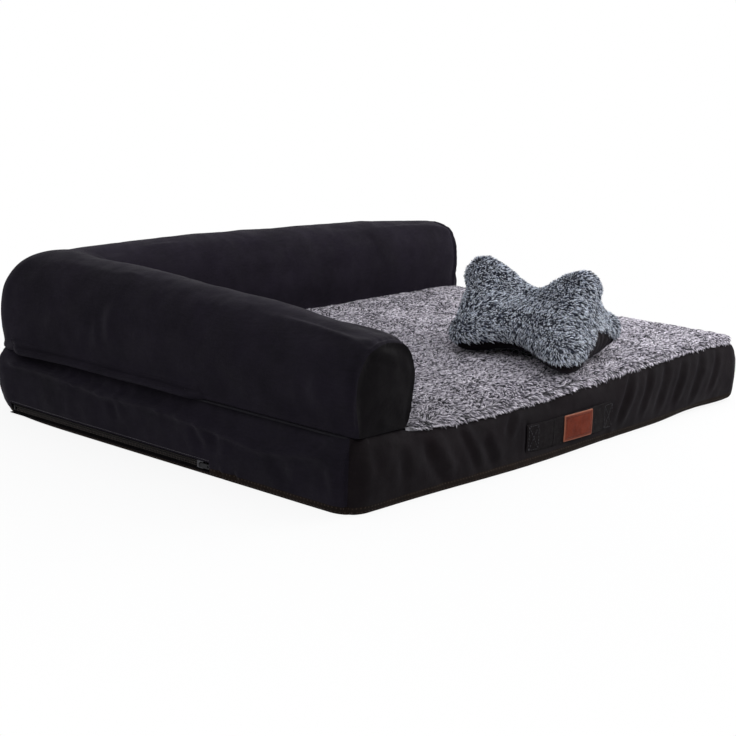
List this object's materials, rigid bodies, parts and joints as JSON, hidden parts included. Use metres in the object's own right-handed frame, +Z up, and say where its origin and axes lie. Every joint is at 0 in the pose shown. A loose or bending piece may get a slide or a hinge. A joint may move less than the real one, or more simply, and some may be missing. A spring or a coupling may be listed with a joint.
{
  "type": "pet bed",
  "caption": "Rectangular foam pet bed in a zipped cloth cover, with a plush top, low padded arms along the back and one side, a webbing handle and a loose bone-shaped pillow.",
  "frame": {"origin": "on the floor under the middle of the slab, ahead of the handle's and the patch's thickness", "axes": "+X along the long side towards the open end, +Y from the open front with the handle to the back arm, +Z up"},
  "size_m": [0.9, 0.6755, 0.2344],
  "materials": {
    "foam": "matte",
    "oxford_cloth": "satin",
    "non_slip_cloth": "matte",
    "bed_plush": "matte",
    "pillow_plush": "matte",
    "stuffing": "matte",
    "webbing": "satin",
    "patch_leather": "satin",
    "black_thread": "satin",
    "brown_thread": "satin",
    "zip_tape": "matte",
    "zip_teeth": "satin",
    "zip_metal": "polished",
    "zip_pull": "satin"
  },
  "bodies": {
    "bed": {"mattress_foam": "foam", "side_arm_foam": "foam", "back_arm_foam": "foam", "bottom_panel": "non_slip_cloth", "front_panel": "oxford_cloth", "back_panel": "oxford_cloth", "left_panel": "oxford_cloth", "right_panel": "oxford_cloth", "arm_pocket_floor": "oxford_cloth", "side_arm_cover": "oxford_cloth", "back_arm_cover": "oxford_cloth", "side_arm_end_cap": "oxford_cloth", "back_arm_end_cap": "oxford_cloth", "arm_zip_flap": "oxford_cloth", "plush_top": "bed_plush", "handle_end_left": "webbing", "handle_end_right": "webbing", "handle_leg_left": "webbing", "handle_leg_right": "webbing", "handle_stitches": "black_thread", "base_zip_tape_upper": "zip_tape", "base_zip_tape_lower": "zip_tape", "base_zip_hems": "oxford_cloth", "base_zip_teeth_upper": "zip_teeth", "base_zip_teeth_lower": "zip_teeth", "base_zip_stops": "zip_teeth", "arm_zip_tape_upper": "zip_tape", "arm_zip_tape_lower": "zip_tape", "arm_zip_hems": "oxford_cloth", "arm_zip_teeth_upper": "zip_teeth", "arm_zip_teeth_lower": "zip_teeth", "arm_zip_stops": "zip_teeth"},
    "pillow": {"pillow_stuffing": "stuffing", "pillow_front_panel": "pillow_plush", "pillow_back_panel": "pillow_plush", "pillow_bottom_panel": "oxford_cloth"},
    "base_slider": {"base_zip_slider": "zip_metal"},
    "base_pull": {"base_zip_pull": "zip_pull"},
    "arm_slider": {"arm_zip_slider": "zip_metal"},
    "arm_pull": {"arm_zip_pull": "zip_pull"},
    "handle": {"handle_grip": "webbing", "handle_patch": "patch_leather", "patch_stitches": "brown_thread"}
  },
  "joints": [
    {"name": "pillow_lift", "type": "slide", "parent": "bed", "child": "pillow", "axis": [0, 0, 1], "range_m": [0, 0.3]},
    {"name": "base_zip_slide", "type": "slide", "parent": "bed", "child": "base_slider", "axis": [0, 1, 0], "range_m": [0, 0.365]},
    {"name": "base_pull_swing", "type": "hinge", "parent": "base_slider", "child": "base_pull", "pos_m": [-0.447, -0.0805, 0.0098], "axis": [0, 0, -1], "range_deg": [0, 170]},
    {"name": "arm_zip_slide", "type": "slide", "parent": "bed", "child": "arm_slider", "axis": [0, 1, 0], "range_m": [0, 0.315]},
    {"name": "arm_pull_swing", "type": "hinge", "parent": "arm_slider", "child": "arm_pull", "pos_m": [-0.4414, -0.0465, 0.098], "axis": [0, 0, -1], "range_deg": [0, 170]},
    {"name": "handle_reach", "type": "slide", "parent": "bed", "child": "handle", "axis": [0, -1, 0], "range_m": [0, 0.016], "deforming": ["handle_leg_left", "handle_leg_right"]}
  ]
}
